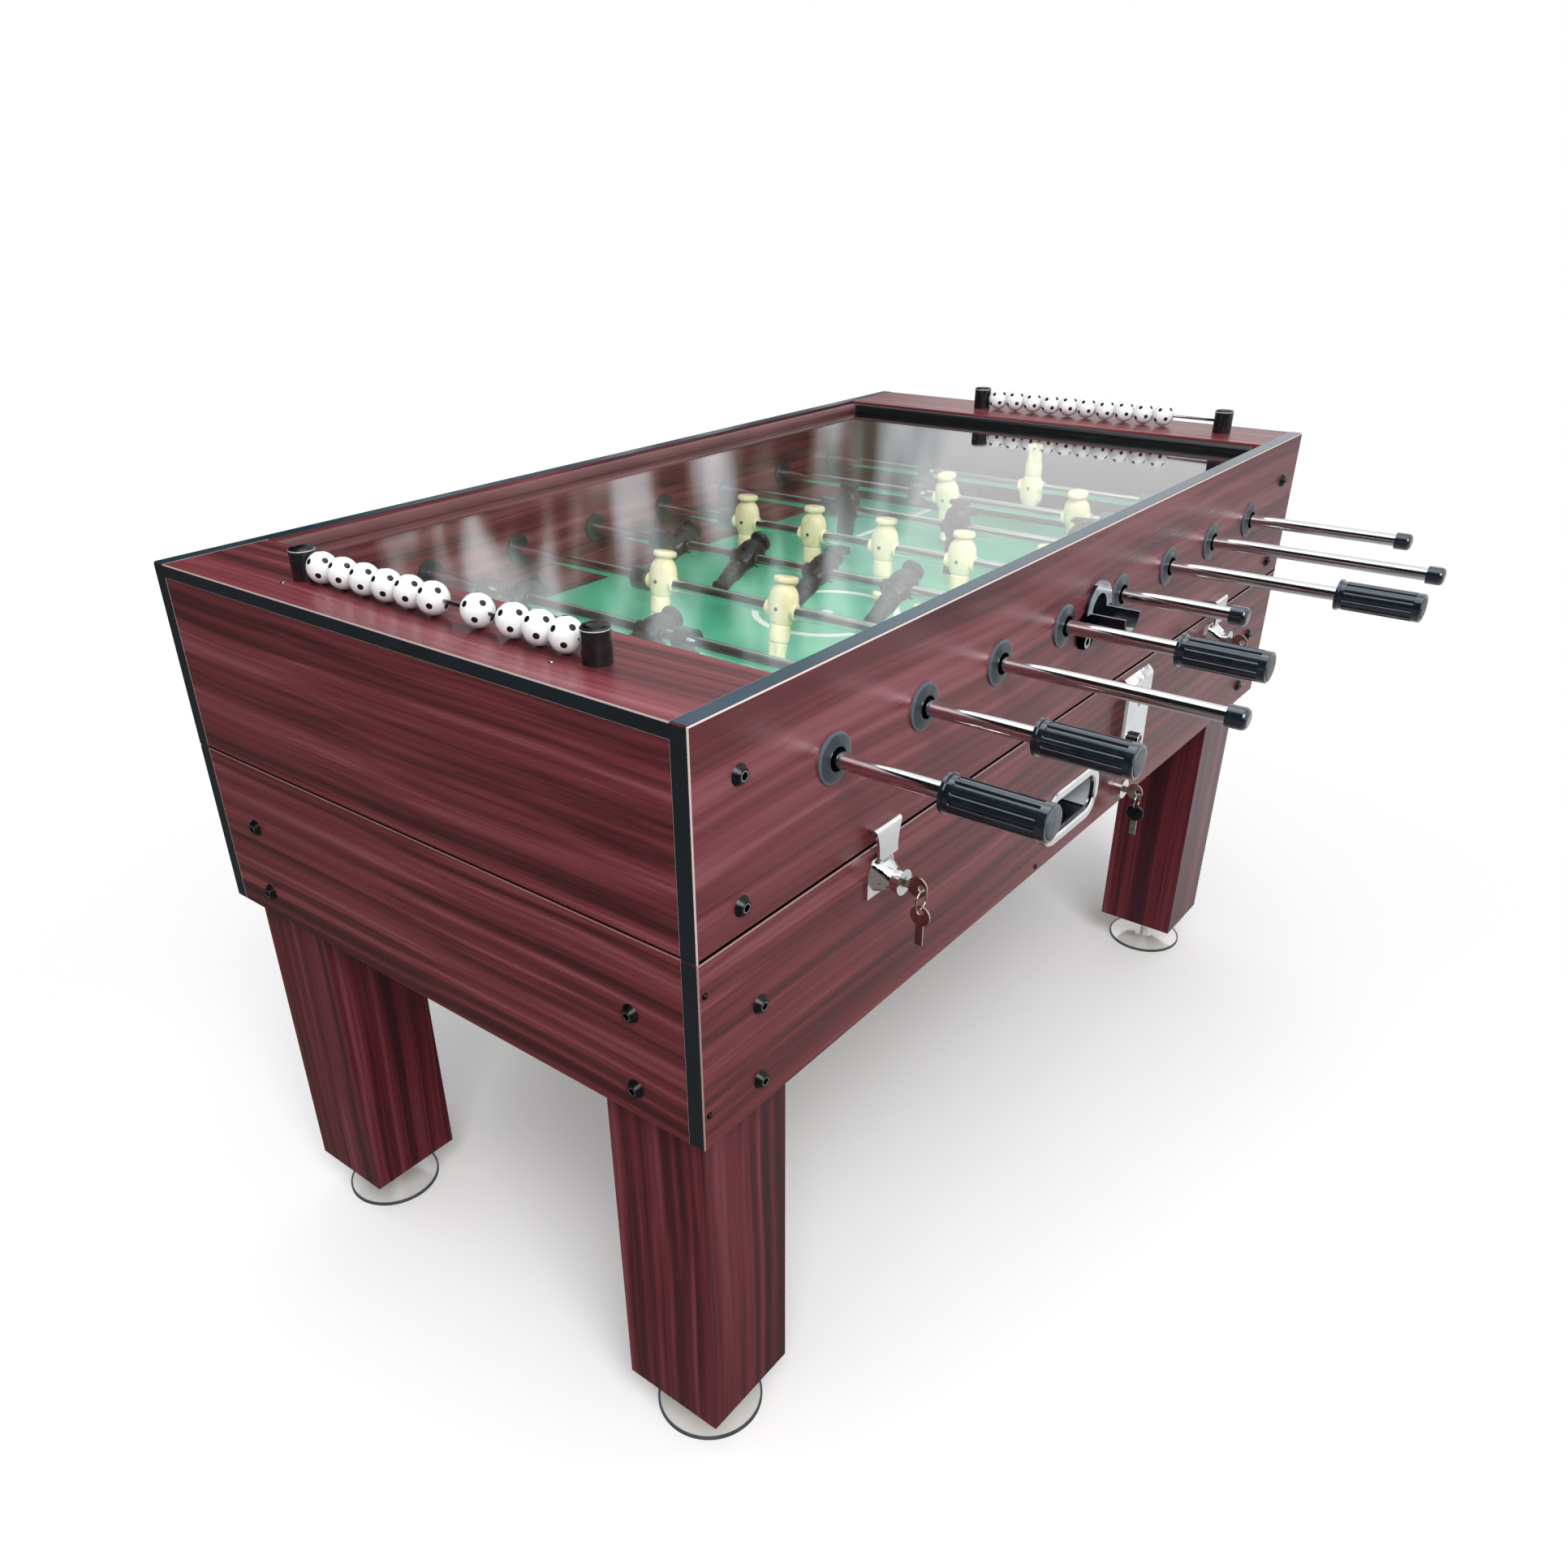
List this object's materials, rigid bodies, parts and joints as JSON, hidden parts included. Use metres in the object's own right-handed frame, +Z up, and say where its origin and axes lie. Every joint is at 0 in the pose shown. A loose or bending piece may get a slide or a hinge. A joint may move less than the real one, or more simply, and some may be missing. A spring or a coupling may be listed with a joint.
{
  "type": "foosball table",
  "caption": "Coin-operated foosball table: glass-topped play box hinged on a lower box with square legs, sliding and spinning player rods, scoring beads, latches, ball return and coin chute.",
  "frame": {"origin": "on the floor under the middle of the table", "axes": "+X along the table towards the end with the bead row in one block, +Y across it towards the hinge side, +Z up"},
  "size_m": [1.441, 1.372, 0.9305],
  "materials": {
    "laminate_sides": "satin laminate",
    "laminate_ends": "satin laminate",
    "laminate_tops": "satin laminate",
    "laminate_legs": "satin laminate",
    "plain_board": "matt board",
    "goal_board": "dark painted board",
    "pitch": "green sheet on board",
    "glass": "clear float glass",
    "strips": "satin",
    "foot_chrome": "polished",
    "bolt_black": "black oxide",
    "bezel_chrome": "polished",
    "pocket_black": "matt",
    "ramp_sheet": "plain sheet",
    "coin_chrome": "polished",
    "coin_button": "polished",
    "cash_box": "plain sheet",
    "lock_chrome": "polished",
    "key_steel": "polished",
    "hinge_steel": "plated",
    "bush_black": "satin black",
    "entry_plastic": "gloss blue-black",
    "scorer_black": "gloss black",
    "bead_white": "gloss",
    "rod_steel": "polished tube",
    "men_black": "gloss",
    "men_cream": "gloss",
    "grip_black": "gloss blue-black"
  },
  "bodies": {
    "base": {"base_side_panels": "laminate_sides", "base_end_panels": "laminate_ends", "base_floor": "plain_board", "legs": "laminate_legs", "levelling_feet": "foot_chrome", "leg_bolts": "bolt_black", "ball_return_bezel": "bezel_chrome", "ball_return_cup": "pocket_black", "ball_ramps": "ramp_sheet", "coin_plate": "coin_chrome", "coin_box": "cash_box", "lock_barrels": "lock_chrome", "latch_plates": "lock_chrome", "hinge_base_leaves": "hinge_steel"},
    "play_box": {"side_panels": "laminate_sides", "end_panels": "laminate_ends", "goal_frames": "goal_board", "top_boards": "laminate_tops", "playfield": "pitch", "glass": "glass", "glass_strips": "strips", "rod_bushings": "bush_black", "cabinet_bolts": "bolt_black", "ball_entry_cup": "entry_plastic", "latch_catches": "lock_chrome", "hinge_lid_leaves": "hinge_steel", "scorer_rails": "scorer_black"},
    "near_beads_left": {"near_beads_left": "bead_white"},
    "near_beads_right": {"near_beads_right": "bead_white"},
    "far_beads": {"far_beads": "bead_white"},
    "coin_button": {"coin_button": "coin_button"},
    "latch_key_left": {"latch_key_left": "key_steel"},
    "latch_key_right": {"latch_key_right": "key_steel"},
    "coin_key": {"coin_key": "key_steel"},
    "latch_spare_left": {"latch_spare_left": "key_steel"},
    "coin_spare": {"coin_spare": "key_steel"},
    "rod_1_slide": {"rod_1_bar": "rod_steel"},
    "rod_1_spin": {"rod_1_men": "men_black", "rod_1_grip": "grip_black"},
    "rod_2_slide": {"rod_2_bar": "rod_steel"},
    "rod_2_spin": {"rod_2_men": "men_black", "rod_2_grip": "grip_black"},
    "rod_3_slide": {"rod_3_bar": "rod_steel"},
    "rod_3_spin": {"rod_3_men": "men_cream", "rod_3_grip": "grip_black"},
    "rod_4_slide": {"rod_4_bar": "rod_steel"},
    "rod_4_spin": {"rod_4_men": "men_black", "rod_4_grip": "grip_black"},
    "rod_5_slide": {"rod_5_bar": "rod_steel"},
    "rod_5_spin": {"rod_5_men": "men_cream", "rod_5_grip": "grip_black"},
    "rod_6_slide": {"rod_6_bar": "rod_steel"},
    "rod_6_spin": {"rod_6_men": "men_black", "rod_6_grip": "grip_black"},
    "rod_7_slide": {"rod_7_bar": "rod_steel"},
    "rod_7_spin": {"rod_7_men": "men_cream", "rod_7_grip": "grip_black"},
    "rod_8_slide": {"rod_8_bar": "rod_steel"},
    "rod_8_spin": {"rod_8_men": "men_cream", "rod_8_grip": "grip_black"}
  },
  "joints": [
    {"name": "play_box_hinge", "type": "hinge", "parent": "base", "child": "play_box", "pos_m": [0, 0.3853, 0.6858], "axis": [-1, 0, 0], "range_deg": [0, 75]},
    {"name": "rod_1_slide", "type": "slide", "parent": "play_box", "child": "rod_1_slide", "axis": [0, 1, 0], "range_m": [-0.204, 0.096]},
    {"name": "rod_1_spin", "type": "hinge", "parent": "rod_1_slide", "child": "rod_1_spin", "pos_m": [-0.525, 0.054, 0.805], "axis": [0, 1, 0], "continuous": true},
    {"name": "rod_2_slide", "type": "slide", "parent": "play_box", "child": "rod_2_slide", "axis": [0, 1, 0], "range_m": [-0.267, 0.103]},
    {"name": "rod_2_spin", "type": "hinge", "parent": "rod_2_slide", "child": "rod_2_spin", "pos_m": [-0.375, 0.082, 0.805], "axis": [0, 1, 0], "continuous": true},
    {"name": "rod_3_slide", "type": "slide", "parent": "play_box", "child": "rod_3_slide", "axis": [0, 1, 0], "range_m": [-0.029, 0.221]},
    {"name": "rod_3_spin", "type": "hinge", "parent": "rod_3_slide", "child": "rod_3_spin", "pos_m": [-0.225, -0.096, 0.805], "axis": [0, 1, 0], "continuous": true},
    {"name": "rod_4_slide", "type": "slide", "parent": "play_box", "child": "rod_4_slide", "axis": [0, 1, 0], "range_m": [-0.034, 0.116]},
    {"name": "rod_4_spin", "type": "hinge", "parent": "rod_4_slide", "child": "rod_4_spin", "pos_m": [-0.075, -0.041, 0.805], "axis": [0, 1, 0], "continuous": true},
    {"name": "rod_5_slide", "type": "slide", "parent": "play_box", "child": "rod_5_slide", "axis": [0, 1, 0], "range_m": [-0.033, 0.117]},
    {"name": "rod_5_spin", "type": "hinge", "parent": "rod_5_slide", "child": "rod_5_spin", "pos_m": [0.075, -0.042, 0.805], "axis": [0, 1, 0], "continuous": true},
    {"name": "rod_6_slide", "type": "slide", "parent": "play_box", "child": "rod_6_slide", "axis": [0, 1, 0], "range_m": [-0.058, 0.192]},
    {"name": "rod_6_spin", "type": "hinge", "parent": "rod_6_slide", "child": "rod_6_spin", "pos_m": [0.225, -0.067, 0.805], "axis": [0, 1, 0], "continuous": true},
    {"name": "rod_7_slide", "type": "slide", "parent": "play_box", "child": "rod_7_slide", "axis": [0, 1, 0], "range_m": [-0.113, 0.257]},
    {"name": "rod_7_spin", "type": "hinge", "parent": "rod_7_slide", "child": "rod_7_spin", "pos_m": [0.375, -0.072, 0.805], "axis": [0, 1, 0], "continuous": true},
    {"name": "rod_8_slide", "type": "slide", "parent": "play_box", "child": "rod_8_slide", "axis": [0, 1, 0], "range_m": [-0.117, 0.183]},
    {"name": "rod_8_spin", "type": "hinge", "parent": "rod_8_slide", "child": "rod_8_spin", "pos_m": [0.525, -0.033, 0.805], "axis": [0, 1, 0], "continuous": true},
    {"name": "near_left_slide", "type": "slide", "parent": "play_box", "child": "near_beads_left", "axis": [0, 1, 0], "range_m": [-0.015, 0.002]},
    {"name": "near_right_slide", "type": "slide", "parent": "play_box", "child": "near_beads_right", "axis": [0, 1, 0], "range_m": [-0.006, 0.015]},
    {"name": "far_slide", "type": "slide", "parent": "play_box", "child": "far_beads", "axis": [0, 1, 0], "range_m": [-0.065, 0]},
    {"name": "coin_button_push", "type": "slide", "parent": "base", "child": "coin_button", "axis": [0, 1, 0], "range_m": [0, 0.005], "stiffness_N_per_m": 300, "springref_m": -0.002},
    {"name": "latch_key_left_turn", "type": "hinge", "parent": "base", "child": "latch_key_left", "pos_m": [-0.443, -0.41, 0.651], "axis": [0, 1, 0], "range_deg": [0, 90]},
    {"name": "latch_key_right_turn", "type": "hinge", "parent": "base", "child": "latch_key_right", "pos_m": [0.443, -0.41, 0.651], "axis": [0, 1, 0], "range_deg": [0, 90]},
    {"name": "coin_key_turn", "type": "hinge", "parent": "base", "child": "coin_key", "pos_m": [0.166, -0.39, 0.511], "axis": [0, 1, 0], "range_deg": [0, 90]},
    {"name": "latch_spare_left_swing", "type": "hinge", "parent": "latch_key_left", "child": "latch_spare_left", "pos_m": [-0.443, -0.43, 0.6481], "axis": [1, 0, 0], "range_deg": [-45, 20]},
    {"name": "coin_spare_swing", "type": "hinge", "parent": "coin_key", "child": "coin_spare", "pos_m": [0.166, -0.41, 0.5081], "axis": [1, 0, 0], "range_deg": [-45, 20]}
  ]
}
